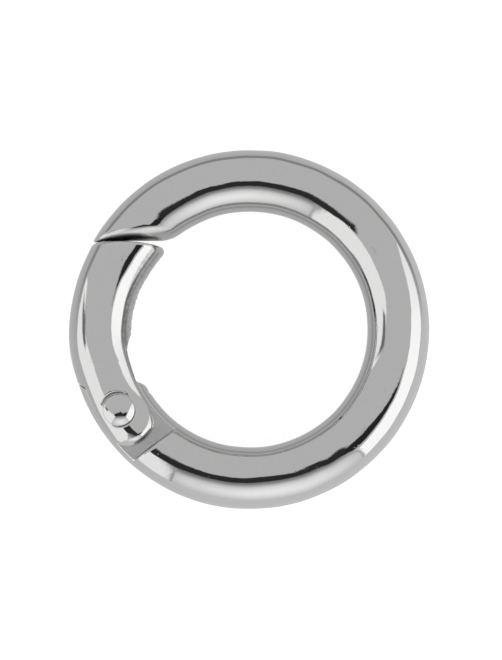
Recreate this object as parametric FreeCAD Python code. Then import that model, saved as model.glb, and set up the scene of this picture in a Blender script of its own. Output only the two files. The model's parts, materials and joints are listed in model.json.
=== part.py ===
"""Spring-gate ring: a round snap ring for keys and straps, 25 mm inside.

The ring is a C-shaped casting of round section. Its open side is closed by a
curved gate that swings inwards on a rivet. The gate's hinge end is slotted, so
two ears straddle a flat tongue on the ring. A compression spring in that slot
sits between the tongue and a blind bore in the gate, off to one side of the
rivet, and pushes the gate shut. The gate's outer web lands on a shoulder of the
tongue, which is the closed stop.

Frame: millimetres. The origin is the ring's centre, +Z is the ring's axis, so
the ring lies flat. The gate is on the -X side, its free end at +Y.
"""

import FreeCAD, Part
import math
import os
from FreeCAD import Vector

# ring
INNER_D = 25.0  # clear diameter inside the ring
BAR_D = 6.6  # diameter of the round section
BAR_R = BAR_D / 2
MEAN_R = (INNER_D + BAR_D) / 2
OUTER_R = MEAN_R + BAR_R
Z_CLEAR = BAR_R + 2.0  # half height of every cutting tool
FAR = OUTER_R + 7.0  # outlines of cutting tools reach this far out
NEAR = 5.0  # and come back this close to the ring's centre
ON_SURFACE = 1e-3  # how near a point has to be to count as on a surface
EDGE_SAMPLES = 9  # points tested along an edge

# rivet hinge
PIVOT_R = MEAN_R + 0.4  # distance of the rivet from the ring's centre
PIVOT_DEG = 211.6
SHANK_R = 1.1
HOLE_R = SHANK_R + 0.05  # running clearance in the tongue
SEAT_Z = 2.95  # height of the spot face that a rivet head sits on
SEAT_R = 1.9
HEAD_R = 1.7
HEAD_TOP_Z = 3.75
HEAD_RIM = 0.2  # height of the head's upright rim

# nose of the ring, above the gate's free end
NOSE_Y = 9.4  # lowest line of the nose's barrel-shaped end face
NOSE_BARREL_R = 7.2
NOSE_FILLET = 0.4

# tongue, the flat end of the ring that the gate's ears straddle
TONGUE_HALF = 1.85
STEP_DEG = 230.25  # where the step from the round bar to the tongue is
STEP_DIR_DEG = 37.3  # direction of the step's straight edge
STEP_FILLET = 0.3
TONGUE_ROOT_DEG = 10.0  # how far the tongue runs on into the round bar
LOBE_R = 1.2  # rounding of the tongue's inner corner
LOBE_DEG = 210.0
LOBE_START_DEG = 20.0  # direction where that rounding leaves the round bar
NOTCH_R = 2.13  # tongue radius about the rivet where the gate's web passes
STOP_DEG = 148.0  # direction of the stop shoulder, seen from the rivet

# gate
SLOT_HALF = TONGUE_HALF + 0.075
GATE_END_R = 17.85  # the free end face is round about the rivet
GATE_END_FILLET = 0.4
EAR_END_R = 4.1  # the ears' ends are round about the rivet
EAR_CORNER_R = 1.8  # rounding of the ears' inner corners
EAR_CORNER_DEG = (-29.0, 27.0)  # directions where that rounding starts and ends
EAR_FILLET = 1.0
SLOT_FLOOR = Vector(-12.75, -0.7, 0)  # inner end of the slot's floor
SLOT_FLOOR_DEG = 115.0  # direction that the slot's floor faces away from
SLOT_FLOOR_FILLET = 1.8  # the floor is nearly a full round from ear to ear
WEB_R = 17.25  # inside face of the web that closes the slot's outer side
WEB_GAP = 0.12  # between the web and the tongue's notch
STOP_GAP_DEG = 0.6
# centreline of the gate: angle round the ring, distance from its centre, bar diameter
GATE_SPINE = (
    (127.0, 15.55, 7.0),
    (137.0, 15.56, 7.0),
    (146.0, 15.57, 6.95),
    (155.0, 15.59, 6.76),
    (164.0, 15.72, 6.66),
    (173.0, 15.87, 6.6),
    (184.0, 15.96, 6.6),
    (194.0, 15.86, 6.6),
    (204.0, 15.80, 6.6),
    (216.0, 15.80, 6.6),
    (230.0, 15.80, 6.6),
)

# spring
SPRING_SEAT = Vector(-13.35, -5.67, 0)  # centre of the seat on the tongue
SPRING_DEG = 126.4  # direction from the tongue's seat to the gate's seat
SPRING_LENGTH = 5.8
SPRING_OD = 2.4
WIRE_D = 0.4
SPRING_TURNS = 7.5
SPRING_GAP = 0.02  # at each end
BORE_R = 1.35
BORE_MOUTH = 2.2  # distance from the tongue's seat to the start of the bore
SEAT_OUT = 1.35  # width of the tongue's flat seat, outwards from the spring's axis
SEAT_IN = 0.27  # and inwards, to where the cam starts
CAM_R = 0.9  # the cam keeps pressing the spring as the gate opens


def polar(radius, degrees, centre=Vector(0, 0, 0)):
    a = math.radians(degrees)
    return centre + Vector(radius * math.cos(a), radius * math.sin(a), 0)


PIVOT = polar(PIVOT_R, PIVOT_DEG)
UP = Vector(0, 0, 1)


def direction_from_pivot(point):
    off = point - PIVOT
    return math.degrees(math.atan2(off.y, off.x))


def line(a, b):
    return Part.LineSegment(a, b).toShape()


def arc(centre, radius, start_deg, end_deg):
    """Arc from start to end, turning the way the degrees go."""
    ends = [polar(radius, d, centre) for d in (start_deg, (start_deg + end_deg) / 2, end_deg)]
    return Part.Arc(*ends).toShape()


def prism(edges, half):
    """Solid over a closed outline in the ring's plane, from -half to +half."""
    face = Part.Face(Part.Wire(edges))
    face.translate(Vector(0, 0, -half))
    return face.extrude(Vector(0, 0, 2 * half))


def polygon_prism(points, half):
    return prism([line(a, b) for a, b in zip(points, points[1:] + points[:1])], half)


def upright(radius, centre, half):
    return Part.makeCylinder(radius, 2 * half, centre - Vector(0, 0, half), UP)


def bar_ring():
    return Part.makeTorus(MEAN_R, BAR_R)


def edges_on(shape, test):
    """Edges whose points all pass the test."""
    found = []
    for e in shape.Edges:
        if all(test(p) for p in e.discretize(EDGE_SAMPLES)):
            found.append(e)
    return found


def step_point(along):
    """Point on the step's straight edge, at a distance from the bar's centreline."""
    return polar(along, STEP_DIR_DEG, polar(MEAN_R, STEP_DEG))


def gate_space():
    """All that the C-shaped bar leaves out, between its nose and its step."""
    above_nose = NOSE_Y + BAR_R
    outline = [
        Vector(-NEAR, above_nose, 0),
        Vector(-FAR, above_nose, 0),
        Vector(-FAR, -FAR, 0),
        step_point(-2 * BAR_R),
        step_point(2 * BAR_R),
        Vector(-NEAR, -NEAR, 0),
    ]
    barrel_end = Vector(-FAR, NOSE_Y + NOSE_BARREL_R, 0)
    barrel = Part.makeCylinder(NOSE_BARREL_R, FAR, barrel_end, Vector(1, 0, 0))
    return polygon_prism(outline, Z_CLEAR).cut(barrel)


def spring_axis():
    return polar(1, SPRING_DEG)


def spring_side():
    """Unit vector across the spring, towards the inside of the ring."""
    return polar(1, SPRING_DEG - 90)


def outer_tangent_deg(a, radius_a, b, radius_b):
    """Direction from each centre to where a line touches both circles on the same side."""
    off = b - a
    turn = math.acos((radius_a - radius_b) / off.Length)
    return math.degrees(math.atan2(off.y, off.x) - turn)


def tongue():
    """Flat tongue with the spring's seat, the cam, the web's notch and the closed stop."""
    lobe = polar(MEAN_R - BAR_R + LOBE_R, LOBE_DEG)
    cam = SPRING_SEAT + spring_side() * SEAT_IN - spring_axis() * CAM_R
    seat_out = SPRING_SEAT - spring_side() * SEAT_OUT
    tangent_deg = outer_tangent_deg(lobe, LOBE_R, cam, CAM_R)
    notch_deg = direction_from_pivot(seat_out)
    root_deg = STEP_DEG + TONGUE_ROOT_DEG
    points = [
        polar(NOTCH_R, STOP_DEG, PIVOT),
        polar(OUTER_R - NOTCH_R, STOP_DEG, PIVOT),
        polar(FAR, PIVOT_DEG),
        polar(FAR, root_deg),
        polar(MEAN_R - 2 * BAR_R, root_deg),
        polar(MEAN_R - 2 * BAR_R, PIVOT_DEG),
        polar(LOBE_R, LOBE_START_DEG, lobe),
    ]
    outline = [line(a, b) for a, b in zip(points, points[1:])]
    outline.append(arc(lobe, LOBE_R, LOBE_START_DEG, tangent_deg))
    outline.append(line(polar(LOBE_R, tangent_deg, lobe), polar(CAM_R, tangent_deg, cam)))
    outline.append(arc(cam, CAM_R, tangent_deg, SPRING_DEG))
    outline.append(line(polar(CAM_R, SPRING_DEG, cam), seat_out))
    outline.append(line(seat_out, polar(NOTCH_R, notch_deg, PIVOT)))
    outline.append(arc(PIVOT, NOTCH_R, notch_deg, STOP_DEG))
    return bar_ring().common(prism(outline, TONGUE_HALF))


def ring_body():
    bar = bar_ring().cut(gate_space())
    nose = edges_on(bar, lambda p: p.y > NOSE_Y - ON_SURFACE and p.x < -NEAR)
    bar = bar.makeFillet(NOSE_FILLET, nose)
    normal = polar(1, STEP_DIR_DEG + 90)
    step = edges_on(bar, lambda p: abs((p - step_point(0)).dot(normal)) < ON_SURFACE)
    bar = bar.makeFillet(STEP_FILLET, step)
    body = bar.fuse(tongue()).removeSplitter()
    return body.cut(upright(HOLE_R, PIVOT, Z_CLEAR))


def gate_bar():
    """Round bar along the gate's centreline, a little thicker at its free end."""
    points = [polar(r, a) for a, r, _ in GATE_SPINE]
    curve = Part.BSplineCurve()
    curve.interpolate(points)
    sections = []
    for point, (_, _, diameter) in zip(points, GATE_SPINE):
        tangent = curve.tangent(curve.parameter(point))[0]
        sections.append(Part.Wire([Part.Circle(point, tangent, diameter / 2).toShape()]))
    return Part.makeLoft(sections, True, False)


def ear_corner():
    """Centre of the rounding at the ears' inner corner."""
    return polar(EAR_END_R - EAR_CORNER_R, EAR_CORNER_DEG[0], PIVOT)


def ear_outline():
    """All of the gate seen along the rivet, with the round end of its ears."""
    start_deg, end_deg = EAR_CORNER_DEG
    corner = ear_corner()
    tangent_point = polar(EAR_CORNER_R, end_deg, corner)
    inside = polar(EAR_END_R, end_deg + 90, tangent_point)
    outer = polar(EAR_END_R, PIVOT_DEG, PIVOT)
    points = [
        inside,
        Vector(-NEAR, NEAR, 0),
        Vector(-NEAR, OUTER_R, 0),
        Vector(-FAR, OUTER_R, 0),
        Vector(-FAR, -NEAR, 0),
        outer,
    ]
    edges = [line(a, b) for a, b in zip(points, points[1:])]
    edges.append(arc(PIVOT, EAR_END_R, PIVOT_DEG, 360 + start_deg))
    edges.append(arc(corner, EAR_CORNER_R, start_deg, end_deg))
    edges.append(line(tangent_point, inside))
    return edges


def circles_meet(r, d):
    """Angle round the ring where a circle about its centre meets one about the rivet."""
    cos = (PIVOT_R**2 + r**2 - d**2) / (2 * PIVOT_R * r)
    return PIVOT_DEG - math.degrees(math.acos(cos))


def slot():
    """Cutter for the slot between the ears, which leaves the outer web and its toe."""
    toe_r = NOTCH_R + WEB_GAP
    web_end_deg = circles_meet(WEB_R, toe_r)
    toe_deg = direction_from_pivot(polar(WEB_R, web_end_deg))
    stop_deg = STOP_DEG - STOP_GAP_DEG
    along = polar(1, SLOT_FLOOR_DEG - 90)
    reach = SLOT_FLOOR.dot(along)
    off = SLOT_FLOOR - along * reach
    floor_out = off - along * math.sqrt(WEB_R**2 - off.dot(off))
    web_start_deg = 360 + math.degrees(math.atan2(floor_out.y, floor_out.x))
    points = [
        polar(toe_r, stop_deg, PIVOT),
        polar(OUTER_R - toe_r, stop_deg, PIVOT),
        polar(FAR, PIVOT_DEG),
        Vector(-NEAR, -FAR, 0),
        Vector(-NEAR, 0, 0),
        SLOT_FLOOR + along * NEAR,
        floor_out,
    ]
    edges = [line(a, b) for a, b in zip(points, points[1:])]
    edges.append(arc(Vector(0, 0, 0), WEB_R, web_start_deg, web_end_deg))
    edges.append(arc(PIVOT, toe_r, toe_deg, stop_deg))
    cutter = prism(edges, SLOT_HALF)
    facing = polar(1, SLOT_FLOOR_DEG)
    on_floor = edges_on(cutter, lambda p: abs((p - SLOT_FLOOR).dot(facing)) < ON_SURFACE)
    corners = [e for e in on_floor if abs(e.CenterOfMass.z) > ON_SURFACE]
    return cutter.makeFillet(SLOT_FLOOR_FILLET, corners)


def on_circle(point, centre, radius):
    return abs(math.hypot(point.x - centre.x, point.y - centre.y) - radius) < ON_SURFACE


def gate():
    bar = gate_bar().common(upright(GATE_END_R, PIVOT, Z_CLEAR))
    free_end = edges_on(bar, lambda p: on_circle(p, PIVOT, GATE_END_R))
    bar = bar.makeFillet(GATE_END_FILLET, free_end)
    bar = bar.common(prism(ear_outline(), Z_CLEAR))
    corner = ear_corner()
    ear_edges = edges_on(
        bar, lambda p: on_circle(p, PIVOT, EAR_END_R) or on_circle(p, corner, EAR_CORNER_R)
    )
    rims = [e for e in ear_edges if abs(e.CenterOfMass.z) > ON_SURFACE]
    bar = bar.makeFillet(EAR_FILLET, rims)
    body = bar.cut(slot())
    bore = Part.makeCylinder(
        BORE_R, SPRING_LENGTH - BORE_MOUTH, SPRING_SEAT + spring_axis() * BORE_MOUTH, spring_axis()
    )
    body = body.cut(bore).cut(upright(SHANK_R, PIVOT, Z_CLEAR))
    for side in (-1, 1):
        spot_face = Part.makeCylinder(SEAT_R, Z_CLEAR, PIVOT + UP * (side * SEAT_Z), UP * side)
        body = body.cut(spot_face)
    return body


def hinge_rivet():
    """Shank and two domed heads, turned as one profile."""
    rim_z = SEAT_Z + HEAD_RIM
    rise = HEAD_TOP_Z - rim_z
    dome_r = (HEAD_R**2 + rise**2) / (2 * rise)
    dome_z = HEAD_TOP_Z - dome_r
    half_turn = math.asin(HEAD_R / dome_r) / 2
    on_dome = Vector(dome_r * math.sin(half_turn), 0, dome_z + dome_r * math.cos(half_turn))
    edges = [
        line(Vector(0, 0, 0), Vector(SHANK_R, 0, 0)),
        line(Vector(SHANK_R, 0, 0), Vector(SHANK_R, 0, SEAT_Z)),
        line(Vector(SHANK_R, 0, SEAT_Z), Vector(HEAD_R, 0, SEAT_Z)),
        line(Vector(HEAD_R, 0, SEAT_Z), Vector(HEAD_R, 0, rim_z)),
        Part.Arc(Vector(HEAD_R, 0, rim_z), on_dome, Vector(0, 0, HEAD_TOP_Z)).toShape(),
        line(Vector(0, 0, HEAD_TOP_Z), Vector(0, 0, 0)),
    ]
    half = Part.Face(Part.Wire(edges)).revolve(Vector(0, 0, 0), UP, 360)
    other = half.mirror(Vector(0, 0, 0), UP)
    rivet = half.fuse(other).removeSplitter()
    rivet.translate(PIVOT)
    return rivet


def gate_spring():
    """Compression spring with ground ends, between the tongue's seat and the bore."""
    coil_r = (SPRING_OD - WIRE_D) / 2
    free = SPRING_LENGTH - 2 * SPRING_GAP
    pitch = (free + WIRE_D / 2) / SPRING_TURNS
    helix = Part.makeLongHelix(pitch, free + WIRE_D / 2, coil_r)
    start = helix.Edges[0].valueAt(helix.Edges[0].FirstParameter)
    tangent = helix.Edges[0].tangentAt(helix.Edges[0].FirstParameter)
    section = Part.Wire([Part.Circle(start, tangent, WIRE_D / 2).toShape()])
    coil = Part.Wire(helix.Edges).makePipeShell([section], True, True)
    coil.translate(Vector(0, 0, -WIRE_D / 4))
    keep = Part.makeCylinder(SPRING_OD, free)
    coil = coil.common(keep)
    turn = FreeCAD.Rotation(UP, spring_axis())
    coil.Placement = FreeCAD.Placement(SPRING_SEAT + spring_axis() * SPRING_GAP, turn)
    return coil


PARTS = {
    "ring_body": ring_body,
    "gate": gate,
    "hinge_rivet": hinge_rivet,
    "gate_spring": gate_spring,
}

if __name__ == "__main__":
    os.makedirs("parts", exist_ok=True)
    for name, make in PARTS.items():
        make().exportStep(f"parts/{name}.step")
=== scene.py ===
"""A round spring-gate ring, bright nickel plate over zinc castings, lying on a light table.

Units are metres in Blender. The castings are worked out in millimetres as distance fields,
which round every edge as tumbling and plating do, and are then meshed.
"""

import json
import math

import bpy
import numpy as np
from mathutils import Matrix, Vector

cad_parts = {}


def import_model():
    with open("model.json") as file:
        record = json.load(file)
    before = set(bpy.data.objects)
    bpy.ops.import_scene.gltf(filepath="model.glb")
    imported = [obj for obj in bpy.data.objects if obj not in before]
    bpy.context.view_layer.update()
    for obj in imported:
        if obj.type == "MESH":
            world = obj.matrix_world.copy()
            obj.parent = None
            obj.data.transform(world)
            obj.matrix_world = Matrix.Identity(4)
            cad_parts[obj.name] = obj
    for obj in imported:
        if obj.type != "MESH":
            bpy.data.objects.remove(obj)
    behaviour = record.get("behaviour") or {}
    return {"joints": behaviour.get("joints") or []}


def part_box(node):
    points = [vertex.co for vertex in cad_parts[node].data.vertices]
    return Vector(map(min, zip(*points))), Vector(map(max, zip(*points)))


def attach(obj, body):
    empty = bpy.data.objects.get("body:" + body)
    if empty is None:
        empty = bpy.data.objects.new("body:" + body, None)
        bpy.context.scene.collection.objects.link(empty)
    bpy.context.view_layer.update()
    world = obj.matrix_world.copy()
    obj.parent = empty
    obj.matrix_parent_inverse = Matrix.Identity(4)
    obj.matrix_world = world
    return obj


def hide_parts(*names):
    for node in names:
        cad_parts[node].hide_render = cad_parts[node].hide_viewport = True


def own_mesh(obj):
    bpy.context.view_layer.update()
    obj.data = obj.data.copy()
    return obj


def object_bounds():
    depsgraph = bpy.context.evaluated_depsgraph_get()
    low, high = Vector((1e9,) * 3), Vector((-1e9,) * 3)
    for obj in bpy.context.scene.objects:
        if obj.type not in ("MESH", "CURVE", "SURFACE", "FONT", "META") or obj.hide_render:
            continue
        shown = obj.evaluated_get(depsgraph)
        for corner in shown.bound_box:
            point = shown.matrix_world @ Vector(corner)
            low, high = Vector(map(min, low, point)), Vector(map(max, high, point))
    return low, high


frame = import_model()
cad_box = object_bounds()

MM = 0.001

# ---------------------------------------------------------------- sizes, in millimetres

RING_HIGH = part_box("ring_body")[1] / MM
BAR_R = RING_HIGH.z
MEAN_R = RING_HIGH.x - BAR_R
HINGE = frame["joints"][0]
PIVOT = np.array(HINGE["pos_m"][:2]) / MM
PIVOT_DEG = math.degrees(math.atan2(PIVOT[1], PIVOT[0])) % 360

NOSE_Y = 9.38
NOSE_BARREL_R = 7.2
STEP_DEG = 230.25
STEP_DIR_DEG = 37.3
TONGUE_HALF = 1.85
TONGUE_ROOT_DEG = STEP_DEG + 12
TONGUE_HOLE_R = 1.15
LOBE_R = 1.2
LOBE_DEG = 210.0
CAM_R = 0.9
CAM_IN = 0.27
SEAT_OUT = 1.35
NOTCH_R = 2.13
STOP_DEG = 148.0
OUTSIDE = MEAN_R + 3 * BAR_R
CUT_SIDE_X = -0.4 * MEAN_R

FRONT_LEAN = 0.22
FRONT_LEAN_DEG = 278
FRONT_LEAN_SPREAD = 24

NOSE_EDGE = 0.8
NOSE_TIP_EDGE = 0.3
NOSE_TIP_REACH = (14.5, 17.0)
STEP_EDGE = 0.35
STEP_TONGUE_EDGE = 0.08
TONGUE_EDGE = 0.1
TONGUE_FILLET = 0.12

SLOT_HALF = 1.925
GATE_END_R = 17.85
EAR_END_R = 4.1
EAR_CORNER_R = 1.8
EAR_CORNER_DEG = (-29.0, 27.0)
SLOT_FLOOR = np.array([-12.75, -0.7])
SLOT_FLOOR_DEG = 115.0
WEB_R = 17.25
TOE_R = 2.25
TOE_DEG = STOP_DEG - 0.1
SLOT_FLOOR_EDGE = 1.8
SHARP_EDGE = 0.05
OPEN_X = -5.0

GATE_END_SHIFT = 0.24
GATE_END_SHIFT_DEG = 159
GATE_END_SHIFT_SPREAD = 8
GATE_END_SWELL = 0.2
GATE_END_SWELL_DEG = 152
GATE_END_SWELL_SPREAD = 9
GATE_END_EDGES = (0.3, 1.0)
GATE_END_REACH = (14.4, 12.6)
GATE_BULGE = 0.16
GATE_BULGE_DEG = 184
GATE_BULGE_SPREAD = 11

EAR_LEAN = 0.5
EAR_LEAN_DEG = (194, 217)
EAR_DROP_FROM = 0.4
EAR_DROP_KNEE = 1.4
EAR_DROP_BEND = 2.5
EAR_DROP_AT_KNEE = 0.03
EAR_DROP_SLOPE = 0.06
EAR_DROP_CURVE = 0.06
EAR_DROP_HEIGHT = (1.9, 2.6)
EAR_EDGES = (0.85, 0.25)
EAR_EDGE_PAST_TIP = (-0.6, 0.9)

SPOT_FACE_R = 1.8
SPOT_FACE_CENTRE = PIVOT + (-0.08, 0.08)
SPOT_FACE_Z = 2.95
SPOT_FACE_EDGE = 0.25
SHANK_R = 1.1
HEAD_R = 1.7
HEAD_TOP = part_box("hinge_rivet")[1].z / MM
HEAD_DROP = 0.6
HEAD_CROWN = 2.6

SPRING_SEAT = np.array([-13.35, -5.67])
SPRING_DEG = 126.4
SPRING_LENGTH = 5.8
SPRING_GAP = 0.02
SPRING_R = 1.0
WIRE_R = 0.2
SPRING_TURNS = 7.5
SPRING_CLOSED = 1.25
CLOSED_PITCH = 2.05 * WIRE_R
STEPS_A_TURN = 32
STEPS_ROUND_WIRE = 16
BORE_R = 1.35
BORE_MOUTH = 2.2

FLASH_HEIGHT = 0.07
FLASH_THICKNESS = 0.22
FLASH_START_DEG = (148, 158)
FLASH_END_DEG = (190, 184)
FLASH_REACH = (13.4, 12.9)
FLASH_RIPPLES = [(2.3, 1.1, 1.0), (5.9, 0.0, 1.0), (11.7, 0.6, 1.0), (23.0, 0.0, 0.6)]

BAR_PITCH = 0.13
GATE_PITCH = 0.08
RIVET_PITCH = 0.06
WAVES = 14
WAVE_RATES = (0.75, 2.4)
WAVE_HEIGHT = 0.012
WAVE_MIDDLE = 2.0
WAVE_SWING = 0.5
SETTLE_ROUNDS = 3


# ---------------------------------------------------------------- node helpers


class Graph:
    """Short calls for making shader nodes."""

    def __init__(self, tree):
        self.tree = tree
        tree.nodes.clear()

    def node(self, kind, **settings):
        made = self.tree.nodes.new(kind)
        for key, value in settings.items():
            setattr(made, key, value)
        return made

    def feed(self, socket, value):
        if isinstance(value, bpy.types.NodeSocket):
            self.tree.links.new(value, socket)
        else:
            socket.default_value = value

    def math(self, operation, *values):
        made = self.node("ShaderNodeMath", operation=operation)
        for socket, value in zip(made.inputs, values):
            self.feed(socket, value)
        return made.outputs[0]

    def fade(self, value, low, high, start=0.0, end=1.0):
        """Smooth change from start to end as value goes from low to high."""
        made = self.node("ShaderNodeMapRange", interpolation_type="SMOOTHSTEP")
        for socket, given in zip(made.inputs, (value, low, high, start, end)):
            self.feed(socket, given)
        return made.outputs[0]

    def mix(self, share, a, b):
        made = self.node("ShaderNodeMix", data_type="FLOAT")
        for name, value in (("Factor", share), ("A", a), ("B", b)):
            self.feed(made.inputs[name], value)
        return made.outputs[0]

    def noise(self, vector, scale, detail=2.0, roughness=0.5):
        made = self.node("ShaderNodeTexNoise")
        self.feed(made.inputs["Vector"], vector)
        made.inputs["Scale"].default_value = scale
        made.inputs["Detail"].default_value = detail
        made.inputs["Roughness"].default_value = roughness
        return made.outputs["Fac"]

    def inside(self, x, y, corners, softness):
        """1 inside a convex outline of corners, given anticlockwise, and 0 outside it."""
        nearest = None
        for (ax, ay), (bx, by) in zip(corners, corners[1:] + corners[:1]):
            length = math.hypot(bx - ax, by - ay)
            nx, ny = (ay - by) / length, (bx - ax) / length
            reach = self.math("MULTIPLY_ADD", x, nx, -(nx * ax + ny * ay))
            reach = self.math("MULTIPLY_ADD", y, ny, reach)
            nearest = reach if nearest is None else self.math("MINIMUM", nearest, reach)
        return self.fade(nearest, -softness / 2, softness / 2)


# ---------------------------------------------------------------- camera, light and floor

VIEW_CENTRE = (0.14, -0.05)
VIEW_HEIGHT = 70.15
LENS = 200.0
SENSOR = 36.0
CLIP_START = 0.01
CLIP_END = 10.0
BACKDROP = 0.92


def make_camera():
    data = bpy.data.cameras.new("camera")
    data.lens = LENS
    data.sensor_width = SENSOR
    camera = bpy.data.objects.new("camera", data)
    bpy.context.scene.collection.objects.link(camera)
    distance = LENS * VIEW_HEIGHT / SENSOR
    camera.location = Vector((*VIEW_CENTRE, distance)) * MM
    data.clip_start = CLIP_START
    data.clip_end = CLIP_END
    bpy.context.scene.camera = camera


# The walls of the light tent and the camera, as corners on a mirror ball seen from above: a direction's
# place on the ball is where a ball would reflect it, 0 at the top and 0.707 at the horizon.
LEFT_WALL = [(-0.15, -0.1), (-0.66, 0.24), (-0.95, 0.1), (-0.8, -0.6), (-0.42, -0.74), (-0.13, -0.23)]
LEFT_CEILING = [(-0.13, -0.2), (0.0, 0.3), (-0.66, 0.25), (-0.44, 0.0)]
LEFT_CLAMP = [(-0.63, 0.15), (-0.48, -0.06), (-0.42, -0.035), (-0.45, 0.04)]
FRONT_WALL = [
    (-0.14, -0.215), (-0.47, -0.83), (0.15, -0.98), (0.72, -0.79),
    (0.26, -0.285), (0.1, -0.203), (0.0, -0.187), (-0.06, -0.189),
]
RIGHT_WALL = [(0.36, -0.06), (0.265, -0.29), (0.62, -0.68), (0.95, -0.4), (0.95, 0.3), (0.64, 0.42)]
LEFT_SEAM = [(-0.13, -0.22), (-0.42, -0.74), (-0.405, -0.75), (-0.115, -0.22)]
RIGHT_SEAM = [(0.255, -0.29), (0.705, -0.8), (0.715, -0.8), (0.265, -0.29)]
CAMERA_BODY = [
    (0.06, -0.075), (0.003, -0.021), (-0.15, -0.123),
    (-0.165, -0.21), (0.19, -0.235), (0.13, -0.13),
]
CAMERA_ARM = [(0.1, -0.094), (0.12, -0.2), (0.22, -0.255), (0.28, -0.15), (0.3, -0.085)]

# How bright each of them is, where 1 is white.
CEILING_LIGHT = 0.675
LEFT_WALL_LIGHT = 1.2
CLAMP_LIGHT = 0.22
SEAM_LIGHT = 0.5
CAMERA_LIGHT = 0.035
ARM_LIGHT = 0.025
RIGHT_WALL_LIGHTS = (1.5, 1.22)
RIGHT_WALL_FADE = (-0.1, 0.3)

# The front wall glows round one lamp and dims towards its top edge.
FRONT_LAMP = (0.07, -0.5)
LAMP_FALL_X = 8.0
LAMP_FALL_Y = 25.0
LAMP_LIGHT = 0.66
FRONT_WALL_LIGHT = 0.6
FRONT_TOP_FADE = (-0.36, -0.2)
FRONT_TOP_SHARE = 0.4

# The table, in metres. Mirrors see a glowing stand-in for it with painted light and shade: lighter at the
# front right, dark in a band at the back, and painted shadow under the ring and the camera: each shade
# reaches from the centre out to a fade.
TABLE_HALF = 3.0
MIRRORED_TABLE_DROP = 0.01 * MM
PAPER_TONE = 0.3
TABLE_GLOW = 0.86
TABLE_LIGHTS = (0.62, 0.78)
TABLE_SLANT = 0.04
BACK_BAND_IN = (0.031, 0.041)
BACK_BAND_OUT = (0.09, 0.14)
BACK_BAND_SIDE = (-0.1, 0.5)
BACK_BAND_LIGHT = 0.34
TABLE_SHADES = [(0.0195, 0.0225, 0.58), (0.011, 0.0135, 0.57), (0.0025, 0.0055, 0.42)]


def make_world():
    world = bpy.data.worlds.new("light_tent")
    world.use_nodes = True
    bpy.context.scene.world = world
    g = Graph(world.node_tree)
    direction = g.node("ShaderNodeTexCoord").outputs["Generated"]
    split = g.node("ShaderNodeSeparateXYZ")
    g.feed(split.inputs[0], direction)
    dx, dy, dz = split.outputs
    spread = g.math("SQRT", g.math("MAXIMUM", g.math("MULTIPLY_ADD", dz, 2.0, 2.0), 0.001))
    x = g.math("DIVIDE", dx, spread)
    y = g.math("DIVIDE", dy, spread)

    off_x = g.math("SUBTRACT", x, FRONT_LAMP[0])
    off_y = g.math("SUBTRACT", y, FRONT_LAMP[1])
    wide = g.math("MULTIPLY", g.math("MULTIPLY", off_x, off_x), -LAMP_FALL_X)
    fall = g.math("MULTIPLY_ADD", g.math("MULTIPLY", off_y, off_y), -LAMP_FALL_Y, wide)
    front = g.math("MULTIPLY_ADD", g.math("EXPONENT", fall), LAMP_LIGHT, FRONT_WALL_LIGHT)
    front = g.math("MULTIPLY", front, g.fade(y, *FRONT_TOP_FADE, 1.0, FRONT_TOP_SHARE))
    right = g.fade(y, *RIGHT_WALL_FADE, *RIGHT_WALL_LIGHTS)

    light = CEILING_LIGHT
    for corners, softness, level in (
        (LEFT_WALL, 0.03, LEFT_WALL_LIGHT),
        (LEFT_CEILING, 0.02, CEILING_LIGHT),
        (LEFT_CLAMP, 0.03, CLAMP_LIGHT),
        (CAMERA_BODY, 0.025, CAMERA_LIGHT),
        (CAMERA_ARM, 0.025, ARM_LIGHT),
        (FRONT_WALL, 0.03, front),
        (RIGHT_WALL, 0.02, right),
        (LEFT_SEAM, 0.012, SEAM_LIGHT),
        (RIGHT_SEAM, 0.012, SEAM_LIGHT),
    ):
        light = g.mix(g.inside(x, y, corners, softness), light, level)
    seen = g.node("ShaderNodeLightPath").outputs["Is Camera Ray"]
    light = g.mix(seen, light, BACKDROP)
    background = g.node("ShaderNodeBackground")
    background.inputs["Color"].default_value = (1, 1, 1, 1)
    g.feed(background.inputs["Strength"], light)
    output = g.node("ShaderNodeOutputWorld")
    g.feed(output.inputs["Surface"], background.outputs[0])


def make_sheet(name, height, half):
    mesh = bpy.data.meshes.new(name)
    corners = [(x * half, y * half, height) for x, y in ((-1, -1), (1, -1), (1, 1), (-1, 1))]
    mesh.from_pydata(corners, [], [(0, 1, 2, 3)])
    sheet = bpy.data.objects.new(name, mesh)
    bpy.context.scene.collection.objects.link(sheet)
    material = bpy.data.materials.new(name)
    material.use_nodes = True
    mesh.materials.append(material)
    return sheet, Graph(material.node_tree)


def make_table(height):
    """The pale light table as the camera sees it."""
    table, g = make_sheet("light_table", height, TABLE_HALF)
    paper = g.node("ShaderNodeBsdfDiffuse")
    paper.inputs["Color"].default_value = (PAPER_TONE, PAPER_TONE, PAPER_TONE, 1)
    glow = g.node("ShaderNodeEmission")
    glow.inputs["Strength"].default_value = TABLE_GLOW
    both = g.node("ShaderNodeAddShader")
    g.feed(both.inputs[0], paper.outputs[0])
    g.feed(both.inputs[1], glow.outputs[0])
    g.feed(g.node("ShaderNodeOutputMaterial").inputs["Surface"], both.outputs[0])
    table.visible_glossy = False


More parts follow.
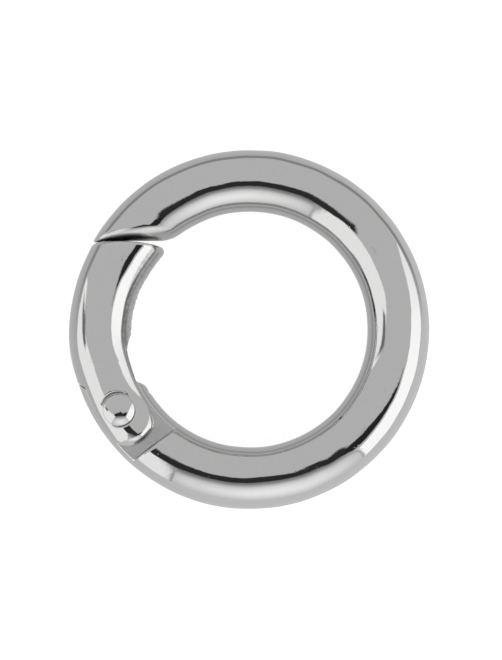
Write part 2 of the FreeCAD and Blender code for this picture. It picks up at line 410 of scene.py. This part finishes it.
def make_mirrored_table(height):
    """The greyer table that only mirrors see: a glowing sheet with painted shadow where the ring and the
    camera would shade it.
    """
    table, g = make_sheet("table_in_mirrors", height, TABLE_HALF)
    place = g.node("ShaderNodeNewGeometry").outputs["Position"]
    split = g.node("ShaderNodeSeparateXYZ")
    g.feed(split.inputs[0], place)
    px, py, _ = split.outputs
    reach = g.math("SQRT", g.math("MULTIPLY_ADD", px, px, g.math("MULTIPLY", py, py)))
    level = g.fade(g.math("SUBTRACT", px, py), -TABLE_SLANT, TABLE_SLANT, *TABLE_LIGHTS)
    band = g.math("MULTIPLY", g.fade(reach, *BACK_BAND_IN), g.fade(reach, *BACK_BAND_OUT, 1.0, 0.0))
    back = g.fade(g.math("DIVIDE", py, reach), *BACK_BAND_SIDE)
    level = g.mix(g.math("MULTIPLY", band, back), level, BACK_BAND_LIGHT)
    # Painted shadows of the ring and the camera.
    for low, high, shade in TABLE_SHADES:
        level = g.mix(g.fade(reach, low, high, 1.0, 0.0), level, shade)
    glow = g.node("ShaderNodeEmission")
    g.feed(glow.inputs["Strength"], level)
    g.feed(g.node("ShaderNodeOutputMaterial").inputs["Surface"], glow.outputs[0])
    table.visible_camera = False
    table.visible_diffuse = False
    table.visible_shadow = False


# ---------------------------------------------------------------- distance fields


def turn(degrees):
    a = math.radians(degrees)
    return np.array([math.cos(a), math.sin(a)])


def from_point(x, y, point):
    return np.hypot(x - point[0], y - point[1])


def beyond(x, y, point, degrees):
    """Distance past a line through point, counted in the direction given."""
    n = turn(degrees)
    return (x - point[0]) * n[0] + (y - point[1]) * n[1]


def meet(a, b, radius):
    """Where both solids are, with the edge between them rounded."""
    corner = np.hypot(np.maximum(a + radius, 0), np.maximum(b + radius, 0))
    return np.minimum(np.maximum(a, b), -radius) + corner


def join(a, b, radius):
    """Either solid, with a fillet in the corner between them."""
    return -meet(-a, -b, radius)


def ramp(values, low, high):
    return np.clip((values - low) / (high - low), 0, 1)


def between(start, end, share):
    """Start where share is 0, and end where it is 1."""
    return start + (end - start) * share


def angle_of(x, y):
    """Angle round the ring's centre, from 0 to 360 degrees."""
    return np.degrees(np.arctan2(y, x)) % 360


def hump(angle, middle, spread):
    return np.exp(-(((angle - middle) / spread) ** 2))


def before(angle, middle, spread):
    """Smooth step from 1, at angles well below middle, to 0."""
    return 0.5 * (1 + np.tanh((middle - angle) / spread))


def far_from_middle(z):
    """0 at mid-height, and 1 at the bar's top and underside."""
    return np.minimum((z / BAR_R) ** 2, 1)


def arc_points(centre, radius, start, end, count=24):
    return [centre + radius * turn(d) for d in np.linspace(start, end, count)]


def outline(x, y, points):
    """Signed distance to a closed outline, negative inside."""
    x, y = np.broadcast_arrays(x, y)
    nearest = np.full(x.shape, np.inf)
    within = np.zeros(x.shape, bool)
    for a, b in zip(points, points[1:] + points[:1]):
        ex, ey = b - a
        wx, wy = x - a[0], y - a[1]
        along = np.clip((wx * ex + wy * ey) / (ex * ex + ey * ey), 0, 1)
        nearest = np.minimum(nearest, (wx - along * ex) ** 2 + (wy - along * ey) ** 2)
        if ey != 0:
            crosses = (a[1] <= y) != (b[1] <= y)
            within ^= crosses & (wx < wy * ex / ey)
    return np.where(within, -1.0, 1.0) * np.sqrt(nearest)


def blend_radius(a, b, at_a, at_b):
    """Edge radius that goes smoothly from at_a, where a is the nearer limit, to at_b."""
    return between(at_a, at_b, np.clip(0.5 + (a - b) * 1.5, 0, 1))


def torus(x, y, z):
    """The ring's round bar. At the front, its top and underside lean a little inwards."""
    lean = FRONT_LEAN * hump(angle_of(x, y), FRONT_LEAN_DEG, FRONT_LEAN_SPREAD) * far_from_middle(z)
    return np.hypot(np.hypot(x, y) - MEAN_R + lean, z) - BAR_R


SPRING_AXIS = turn(SPRING_DEG)
SPRING_SIDE = turn(SPRING_DEG - 90)
STEP_POINT = MEAN_R * turn(STEP_DEG)


def tongue_outline():
    lobe = turn(LOBE_DEG) * (MEAN_R - BAR_R + LOBE_R)
    cam = SPRING_SEAT + CAM_IN * SPRING_SIDE - CAM_R * SPRING_AXIS
    off = cam - lobe
    tangent = math.degrees(math.atan2(off[1], off[0]) - math.acos((LOBE_R - CAM_R) / np.hypot(*off)))
    notch = SPRING_SEAT - SEAT_OUT * SPRING_SIDE - PIVOT
    points = arc_points(lobe, LOBE_R, 0, tangent)
    points += arc_points(cam, CAM_R, tangent, SPRING_DEG)
    points += arc_points(PIVOT, NOTCH_R, math.degrees(math.atan2(notch[1], notch[0])), STOP_DEG)
    points += [PIVOT + OUTSIDE * turn(STOP_DEG), OUTSIDE * turn(PIVOT_DEG), OUTSIDE * turn(TONGUE_ROOT_DEG)]
    points += [(MEAN_R - 2 * BAR_R) * turn(d) for d in (TONGUE_ROOT_DEG, PIVOT_DEG)]
    return points


TONGUE = tongue_outline()


def ring_field(x, y, z):
    """The ring body. The outer side of its nose follows the sweep of the gate's end."""
    lift = np.where(x < PIVOT[0], from_point(x, y, PIVOT), y - PIVOT[1])
    nose = np.hypot(lift - (NOSE_Y - PIVOT[1]) - NOSE_BARREL_R, z) - NOSE_BARREL_R
    step = beyond(x, y, STEP_POINT, STEP_DIR_DEG + 90)
    bar = np.minimum(np.minimum(nose, step), CUT_SIDE_X - x)
    tongue = meet(np.abs(z) - TONGUE_HALF, outline(x, y, TONGUE), TONGUE_EDGE)
    nose_edge = between(NOSE_EDGE, NOSE_TIP_EDGE, ramp(-x, *NOSE_TIP_REACH))
    edge = blend_radius(bar, tongue, np.where(y > 0, nose_edge, STEP_EDGE), STEP_TONGUE_EDGE)
    body = meet(torus(x, y, z), join(bar, tongue, TONGUE_FILLET), edge)
    return meet(body, TONGUE_HOLE_R - from_point(x, y, PIVOT), SHARP_EDGE)


def ear_drop(x, y, z):
    """How far the ears' tops are sunk, past the rivet and towards their ends."""
    past = beyond(x, y, PIVOT, PIVOT_DEG + 90)
    drop = EAR_DROP_AT_KNEE * ramp(past, EAR_DROP_FROM, EAR_DROP_KNEE) ** 2
    drop = drop + EAR_DROP_SLOPE * np.maximum(past - EAR_DROP_KNEE, 0)
    drop = drop + EAR_DROP_CURVE * np.maximum(past - EAR_DROP_BEND, 0) ** 2
    return drop * ramp(np.abs(z), *EAR_DROP_HEIGHT)


def gate_bar(x, y, z):
    """The gate's bar: wider at its free end, bulging near the slot, with ears that lean out and drop."""
    angle = angle_of(x, y)
    bulge = GATE_BULGE * hump(angle, GATE_BULGE_DEG, GATE_BULGE_SPREAD)
    lean = EAR_LEAN * ramp(angle, *EAR_LEAN_DEG) * far_from_middle(z)
    shift = GATE_END_SHIFT * before(angle, GATE_END_SHIFT_DEG, GATE_END_SHIFT_SPREAD)
    swell = GATE_END_SWELL * before(angle, GATE_END_SWELL_DEG, GATE_END_SWELL_SPREAD)
    off_centre = (np.hypot(x, y) - (MEAN_R - shift + bulge + lean)) * BAR_R / (BAR_R + swell)
    return np.hypot(off_centre, z) - BAR_R + ear_drop(x, y, z)


EAR_CORNER = PIVOT + (EAR_END_R - EAR_CORNER_R) * turn(EAR_CORNER_DEG[0])
EAR_TIP = EAR_CORNER + EAR_CORNER_R * turn(EAR_CORNER_DEG[1])


def ear_outline():
    start, end = EAR_CORNER_DEG
    points = arc_points(PIVOT, EAR_END_R, PIVOT_DEG - 25, 360 + start, 32)
    points += arc_points(EAR_CORNER, EAR_CORNER_R, start, end)
    points += [EAR_TIP + EAR_END_R * turn(end + 90), np.array([OPEN_X, 4.0]), np.array([OPEN_X, OUTSIDE])]
    points += [np.array([-OUTSIDE, OUTSIDE]), np.array([-OUTSIDE, -4.0])]
    return points


EARS = ear_outline()


def slot_outline():
    """The slot seen along the rivet, apart from its floor: the web, its toe and open space."""
    cos = (PIVOT @ PIVOT + WEB_R**2 - TOE_R**2) / (2 * np.hypot(*PIVOT) * WEB_R)
    web_end = PIVOT_DEG - math.degrees(math.acos(cos))
    toe = WEB_R * turn(web_end) - PIVOT
    toe_start = math.degrees(math.atan2(toe[1], toe[0]))
    points = arc_points(np.zeros(2), WEB_R, 165, web_end)
    points += arc_points(PIVOT, TOE_R, toe_start, TOE_DEG, 4)
    points += [PIVOT + OUTSIDE * turn(TOE_DEG), OUTSIDE * turn(PIVOT_DEG)]
    points += [np.array([OPEN_X, -OUTSIDE]), np.array([OPEN_X, 5.0])]
    return points


SLOT = slot_outline()


def flash(x, y, z):
    """Ragged remains of the parting line along the gate's inner side, from 0 to 1."""
    angle = angle_of(x, y)
    where = ramp(angle, *FLASH_START_DEG) * ramp(angle, *FLASH_END_DEG) * ramp(np.hypot(x, y), *FLASH_REACH)
    ragged = sum(share * np.sin(rate * y + start) for rate, start, share in FLASH_RIPPLES)
    return where * np.exp(-((z / FLASH_THICKNESS) ** 2)) * np.clip(0.55 + 0.22 * ragged, 0, 1)


def gate_skin(x, y, z):
    """The gate's polished outside, without its slot and holes."""
    end_edge = between(*GATE_END_EDGES, ramp(np.hypot(x, y), *GATE_END_REACH))
    body = meet(gate_bar(x, y, z), from_point(x, y, PIVOT) - GATE_END_R, end_edge)
    past_tip = beyond(x, y, EAR_TIP, EAR_CORNER_DEG[1] + 90)
    return meet(body, outline(x, y, EARS), between(*EAR_EDGES, ramp(past_tip, *EAR_EDGE_PAST_TIP)))


def gate_field(x, y, z):
    floor = meet(beyond(x, y, SLOT_FLOOR, SLOT_FLOOR_DEG), np.abs(z) - SLOT_HALF, SLOT_FLOOR_EDGE)
    slot = meet(outline(x, y, SLOT), floor, SHARP_EDGE)
    body = meet(gate_skin(x, y, z), -slot, SHARP_EDGE)
    spot_face = meet(from_point(x, y, SPOT_FACE_CENTRE) - SPOT_FACE_R, SPOT_FACE_Z - np.abs(z), 0.06)
    body = meet(body, -spot_face, SPOT_FACE_EDGE)
    depth = beyond(x, y, SPRING_SEAT, SPRING_DEG)
    aside = beyond(x, y, SPRING_SEAT, SPRING_DEG - 90)
    bore = meet(np.hypot(aside, z) - BORE_R, np.maximum(BORE_MOUTH - depth, depth - SPRING_LENGTH), 0.1)
    body = meet(body, -bore, SHARP_EDGE)
    body = meet(body, SHANK_R - from_point(x, y, PIVOT), 0.03)
    return body - FLASH_HEIGHT * flash(x, y, z)


def rivet_field(x, y, z):
    reach = from_point(x, y, PIVOT)
    crown = HEAD_TOP - HEAD_DROP * (reach / HEAD_R) ** HEAD_CROWN
    head = meet(meet(reach - HEAD_R, np.abs(z) - crown, 0.08), SPOT_FACE_Z - np.abs(z), 0.03)
    shank = meet(reach - SHANK_R, np.abs(z) - SPOT_FACE_Z - 0.2, 0.02)
    return np.minimum(head, shank)


rng = np.random.default_rng(25)
WAVE_TURNS = rng.normal(size=(WAVES, 3))
WAVE_TURNS *= (rng.uniform(*WAVE_RATES, WAVES) / np.linalg.norm(WAVE_TURNS, axis=1))[:, None]
WAVE_START = rng.uniform(0, 2 * math.pi, WAVES)


def waves(x, y, z):
    """Slow hollows that casting and polishing leave, nearly all of them inwards."""
    total = 0.0
    for (kx, ky, kz), start in zip(WAVE_TURNS, WAVE_START):
        total = total + np.sin(kx * x + ky * y + kz * z + start) / math.hypot(kx, ky, kz)
    return WAVE_HEIGHT * (WAVE_MIDDLE + WAVE_SWING * total)


def wavy(field):
    return lambda x, y, z: field(x, y, z) + waves(x, y, z)


# ---------------------------------------------------------------- meshing


def cell_corners(values):
    for i in (0, 1):
        for j in (0, 1):
            for k in (0, 1):
                yield (i, j, k), values[
                    i : values.shape[0] - 1 + i, j : values.shape[1] - 1 + j, k : values.shape[2] - 1 + k
                ]


def surface_net(field, low, high, pitch):
    """Quads over the zero surface of a field: one vertex in each grid cell that it crosses."""
    axes = [np.arange(a, b + pitch, pitch) for a, b in zip(low, high)]
    x, y, z = np.meshgrid(*axes, indexing="ij", sparse=True)
    values = field(x, y, z).astype(np.float32)
    inside = values < 0
    count = sum(part.astype(np.uint8) for _, part in cell_corners(inside))
    active = (count > 0) & (count < 8)
    cells = np.argwhere(active)
    number = np.full(active.shape, -1, np.int64)
    number[active] = np.arange(len(cells))

    corner = {at: part[active] for at, part in cell_corners(values)}
    total = np.zeros((len(cells), 3))
    hits = np.zeros(len(cells))
    for at in corner:
        for axis in range(3):
            if at[axis]:
                continue
            other = tuple(1 if i == axis else v for i, v in enumerate(at))
            a, b = corner[at], corner[other]
            crossed = (a < 0) != (b < 0)
            share = np.where(crossed, a / np.where(crossed, a - b, 1), 0)
            spot = np.tile(np.array(at, float), (len(cells), 1))
            spot[:, axis] = share
            total += spot * crossed[:, None]
            hits += crossed
    points = np.array([a[0] for a in axes]) + pitch * (cells + total / hits[:, None])

    quads = []
    for axis in range(3):
        a = np.moveaxis(inside, axis, 0)
        change = np.moveaxis(a[1:] != a[:-1], 0, axis)
        u, v = [i for i in range(3) if i != axis]
        at = np.argwhere(change)
        inner = (at[:, u] > 0) & (at[:, v] > 0)
        inner &= (at[:, u] < number.shape[u]) & (at[:, v] < number.shape[v])
        at = at[inner]
        ring = []
        for du, dv in ((1, 1), (0, 1), (0, 0), (1, 0)):
            cell = at.copy()
            cell[:, u] -= du
            cell[:, v] -= dv
            ring.append(number[tuple(cell.T)])
        ring = np.stack(ring, 1)
        flip = inside[tuple(at.T)] == (axis == 1)
        ring[flip] = ring[flip][:, ::-1]
        quads.append(ring)
    return points, np.concatenate(quads)


def slope(field, points, step=0.01):
    """Unit gradient of the field at each point."""
    result = np.empty_like(points)
    for axis in range(3):
        shift = np.zeros(3)
        shift[axis] = step
        result[:, axis] = field(*(points + shift).T) - field(*(points - shift).T)
    return result / np.maximum(np.linalg.norm(result, axis=1), 1e-9)[:, None]


def mesh_object(name, points, faces, normals=None):
    mesh = bpy.data.meshes.new(name)
    mesh.from_pydata((points * MM).tolist(), [], faces)
    mesh.update()
    mesh.shade_smooth()
    if normals is not None:
        mesh.normals_split_custom_set_from_vertices(normals.tolist())
    made = bpy.data.objects.new(name, mesh)
    bpy.context.scene.collection.objects.link(made)
    return made


def paint(piece, name, values):
    """Stores one number a vertex for the materials to read."""
    layer = piece.data.attributes.new(name, "FLOAT", "POINT")
    layer.data.foreach_set("value", values.astype(np.float32))


def curvature(field, points, step=0.12):
    """Sum of the two curvatures: high along sharp edges and below zero in corners."""
    total = -6 * field(*points.T)
    for axis in range(3):
        shift = np.zeros(3)
        shift[axis] = step
        total = total + field(*(points + shift).T) + field(*(points - shift).T)
    return total / step**2


def cast(name, field, node, pitch, polished=None):
    """Meshes a field inside the box of the CAD node that it stands for.

    Marks its edges, its corners and the faces off the polished outside, where the casting is rougher; the
    plating paints shade into the corners and those faces.
    """
    low, high = (np.array(c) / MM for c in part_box(node))
    points, faces = surface_net(field, low - 2 * pitch, high + 2 * pitch, pitch)
    soft = wavy(field)
    for _ in range(SETTLE_ROUNDS):
        points -= soft(*points.T)[:, None] * slope(soft, points)
    piece = mesh_object(name, points, faces.tolist(), slope(soft, points))
    bend = curvature(field, points)
    paint(piece, "edge", ramp(bend, 0.9, 3.5))
    # Corners: the plating makes them rougher and darkens them with painted shade.
    paint(piece, "corner", ramp(-bend, 0.5, 3.0))
    off = ramp(-polished(*points.T), 0.03, 0.12) if polished else np.zeros(len(points))
    # Faces off the polished outside: rougher, and darkened by painted shade in the plating.
    paint(piece, "rough_and_shaded", off)
    return piece


# ---------------------------------------------------------------- the spring


def coil(name):
    """Compression spring: open turns between closed ends that are ground flat."""
    free = SPRING_LENGTH - 2 * SPRING_GAP
    turns = np.linspace(0, SPRING_TURNS, round(STEPS_A_TURN * SPRING_TURNS))
    open_turns = SPRING_TURNS - 2 * SPRING_CLOSED
    closed_rise = SPRING_CLOSED * CLOSED_PITCH
    open_rise = free - WIRE_R - 2 * closed_rise
    knots = [0, SPRING_CLOSED, SPRING_CLOSED + open_turns, SPRING_TURNS]
    rises = [0, closed_rise, closed_rise + open_rise, 2 * closed_rise + open_rise]
    along = np.interp(turns, knots, rises) + WIRE_R / 2
    side = np.array([*SPRING_SIDE, 0.0])
    axis = np.array([*SPRING_AXIS, 0.0])
    up = np.array([0.0, 0.0, 1.0])
    start = np.array([*(SPRING_SEAT + SPRING_GAP * SPRING_AXIS), 0.0])
    points = []
    around = np.linspace(0, 2 * math.pi, STEPS_ROUND_WIRE, endpoint=False)
    for t, lift in zip(turns, along):
        out = math.cos(2 * math.pi * t) * side + math.sin(2 * math.pi * t) * up
        lifts = np.clip(lift + WIRE_R * np.sin(around), 0, free)
        reach = SPRING_R + WIRE_R * np.cos(around)
        points.append(start + lifts[:, None] * axis + reach[:, None] * out)
    index = np.arange(len(turns) * len(around)).reshape(len(turns), -1)
    following = np.roll(index, -1, axis=1)
    sides = np.stack([index[:-1], index[1:], following[1:], following[:-1]], -1).reshape(-1, 4)
    faces = [*sides.tolist(), index[0].tolist(), index[-1][::-1].tolist()]
    return mesh_object(name, np.concatenate(points), faces)


# ---------------------------------------------------------------- materials

# Brightness of the plate: on open surfaces, in corners (painted shade), along sharp edges (lighter),
# in the unpolished, recessed faces (painted shade; they are rougher too), in file marks and under the burr.
PLATE_TONE = 0.605
CORNER_SHADE_TONE = 0.42
EDGE_TONE = 0.68
HOLLOW_SHADE_TONE = 0.56
FILED_TONE = 0.46
BURR_TONE = 0.32

# Roughness, and what smudges, edges and file marks add to it.
PLATE_ROUGHNESS = 0.035
CORNER_ROUGHNESS = 0.25
HOLLOW_ROUGHNESS = 0.28
SMUDGE_ADDS = 0.03
EDGE_ADDS = 0.05
FILED_ADDS = 0.08

# Depths of the surface texture, in millimetres.
PEEL_DEPTH = 0.009
FINE_DEPTH = 0.0022
HAIR_DEPTH = 0.00025
PIT_DEPTH = 0.004
GRAIN_DEPTH = 0.00005
HOLLOW_GRAIN_DEPTH = 0.006
FILED_DEPTH = 0.01
WIRE_DEPTH = 0.004

# Where the flash was filed off: its span round the ring from due left, and its reach from the centre.
FILED_SPAN = (-3.0, 11.0)
FILED_FADE = 2
FILED_REACH = (13.0, 13.8)
BURR_REACH_IN = (12.95, 13.2)
BURR_REACH_OUT = (13.35, 13.55)

METAL_TINT = (1.0, 1.0, 0.995)


def millimetres(g):
    """Place on the object in millimetres, and round the ring: turn, reach and height."""
    place = g.node("ShaderNodeVectorMath", operation="SCALE")
    g.feed(place.inputs[0], g.node("ShaderNodeTexCoord").outputs["Object"])
    place.inputs["Scale"].default_value = 1 / MM
    split = g.node("ShaderNodeSeparateXYZ")
    g.feed(split.inputs[0], place.outputs[0])
    x, y, z = split.outputs
    turned = g.math("MULTIPLY", g.math("ARCTAN2", y, g.math("MULTIPLY", x, -1.0)), MEAN_R)
    reach = g.math("SQRT", g.math("MULTIPLY_ADD", x, x, g.math("MULTIPLY", y, y)))
    return place.outputs[0], (turned, reach, z)


def stretched(g, coordinates, scales):
    joined = g.node("ShaderNodeCombineXYZ")
    for socket, value, scale in zip(joined.inputs, coordinates, scales):
        g.feed(socket, g.math("MULTIPLY", value, scale))
    return joined.outputs[0]


def bumps(g, layers):
    """Chains bump nodes: each layer is a height from 0 to 1 and its depth in millimetres."""
    normal = None
    for height, depth in layers:
        bump = g.node("ShaderNodeBump")
        g.feed(bump.inputs["Distance"], g.math("MULTIPLY", depth, MM))
        g.feed(bump.inputs["Height"], height)
        if normal is not None:
            g.feed(bump.inputs["Normal"], normal)
        normal = bump.outputs[0]
    return normal


def mark(g, name):
    return g.node("ShaderNodeAttribute", attribute_name=name).outputs["Fac"]


def metal(g, shine, roughness, layers):
    """Finishes a material as bare metal with the brightness, roughness and bumps given."""
    shader = g.node("ShaderNodeBsdfPrincipled")
    shader.inputs["Metallic"].default_value = 1.0
    joined = g.node("ShaderNodeCombineXYZ")
    for socket, tone in zip(joined.inputs, METAL_TINT):
        g.feed(socket, g.math("MULTIPLY", shine, tone))
    g.feed(shader.inputs["Base Color"], joined.outputs[0])
    g.feed(shader.inputs["Roughness"], roughness)
    g.feed(shader.inputs["Normal"], bumps(g, layers))
    g.feed(g.node("ShaderNodeOutputMaterial").inputs["Surface"], shader.outputs[0])


def blank(name):
    material = bpy.data.materials.new(name)
    material.use_nodes = True
    return material, Graph(material.node_tree)


def filed(g, round_ring, low, high):
    """Fine marks across the bar where the flash was filed off the inner side, and the burr left there."""
    turned, reach, _ = round_ring
    start = g.fade(turned, low, low + FILED_FADE)
    end = g.fade(turned, high - FILED_FADE, high, 1.0, 0.0)
    where = g.math("MULTIPLY", g.math("MULTIPLY", start, end), g.fade(reach, *FILED_REACH, 1.0, 0.0))
    marks = g.noise(stretched(g, round_ring, (2.6, 1.3, 1.3)), 1.0, 4.0, 0.65)
    burr = g.math("MULTIPLY", g.fade(reach, *BURR_REACH_IN), g.fade(reach, *BURR_REACH_OUT, 1.0, 0.0))
    return marks, where, g.math("MULTIPLY", burr, start)


def plating(name, filed_span=None):
    """Bright nickel plate over a zinc casting that was barrel polished first."""
    material, g = blank(name)
    place, round_ring = millimetres(g)
    edge, corner, rough_and_shaded = (mark(g, n) for n in ("edge", "corner", "rough_and_shaded"))
    peel = g.noise(place, 0.55, 1.0)
    fine = g.noise(place, 2.2, 2.0)
    grain = g.noise(place, 9.0, 3.0, 0.6)
    hairs = g.noise(stretched(g, round_ring, (0.35, 14.0, 14.0)), 1.0, 1.0)
    smudge = g.fade(g.noise(place, 0.22, 3.0, 0.6), 0.5, 0.75)
    pits = g.node("ShaderNodeTexVoronoi")
    g.feed(pits.inputs["Vector"], place)
    pits.inputs["Scale"].default_value = 0.7
    pit = g.fade(pits.outputs["Distance"], 0.03, 0.07, 0.0, 1.0)
    shine = g.math("MULTIPLY_ADD", fine, 0.03, PLATE_TONE)
    # Painted shade in corners.
    shine = g.mix(corner, shine, CORNER_SHADE_TONE)
    # Lighter and rougher along sharp edges.
    shine = g.mix(g.math("MULTIPLY", edge, 0.5), shine, EDGE_TONE)
    # Painted shade on the unpolished faces off the polished outside, which are also rougher.
    shine = g.mix(g.math("MULTIPLY", rough_and_shaded, 0.5), shine, HOLLOW_SHADE_TONE)
    roughness = g.math("MULTIPLY_ADD", smudge, SMUDGE_ADDS, PLATE_ROUGHNESS)
    roughness = g.math("MULTIPLY_ADD", edge, EDGE_ADDS, roughness)
    roughness = g.mix(corner, roughness, CORNER_ROUGHNESS)
    roughness = g.mix(rough_and_shaded, roughness, HOLLOW_ROUGHNESS)
    layers = [
        (peel, PEEL_DEPTH),
        (fine, FINE_DEPTH),
        (hairs, HAIR_DEPTH),
        (pit, PIT_DEPTH),
        (grain, g.math("MULTIPLY_ADD", rough_and_shaded, HOLLOW_GRAIN_DEPTH, GRAIN_DEPTH)),
    ]
    if filed_span:
        marks, where, burr = filed(g, round_ring, *filed_span)
        layers.append((marks, g.math("MULTIPLY", where, FILED_DEPTH)))
        roughness = g.math("MULTIPLY_ADD", where, FILED_ADDS, roughness)
        shine = g.mix(g.math("MULTIPLY", where, g.fade(marks, 0.42, 0.68)), shine, FILED_TONE)
        shine = g.mix(g.math("MULTIPLY", burr, g.fade(marks, 0.3, 0.6, 0.45, 0.9)), shine, BURR_TONE)
    metal(g, shine, roughness, layers)
    return material


def spring_steel(name):
    """Drawn music wire: grey, with draw marks and a little oil."""
    material, g = blank(name)
    place, _ = millimetres(g)
    fine = g.noise(place, 6.0, 3.0, 0.6)
    shine = g.math("MULTIPLY_ADD", fine, 0.12, 0.3)
    roughness = g.math("MULTIPLY_ADD", fine, 0.2, 0.22)
    metal(g, shine, roughness, [(fine, WIRE_DEPTH)])
    return material


def dress(piece, material, body, node):
    piece.data.materials.append(material)
    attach(piece, body)
    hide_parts(node)


# ---------------------------------------------------------------- the ring

scene = bpy.context.scene
scene.view_settings.view_transform = "Standard"
make_camera()
make_world()
make_table(cad_box[0].z)
make_mirrored_table(cad_box[0].z - MIRRORED_TABLE_DROP)

ring = cast("ring_casting", ring_field, "ring_body", BAR_PITCH, torus)
dress(ring, plating("nickel_ring"), "ring", "ring_body")

gate = cast("gate_casting", gate_field, "gate", GATE_PITCH, gate_skin)
dress(gate, plating("nickel_gate", FILED_SPAN), "gate", "gate")

rivet = cast("rivet", rivet_field, "hinge_rivet", RIVET_PITCH)
dress(rivet, plating("nickel_rivet"), "gate", "hinge_rivet")

spring = coil("spring")
dress(spring, spring_steel("music_wire"), "gate", "gate_spring")
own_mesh(spring)
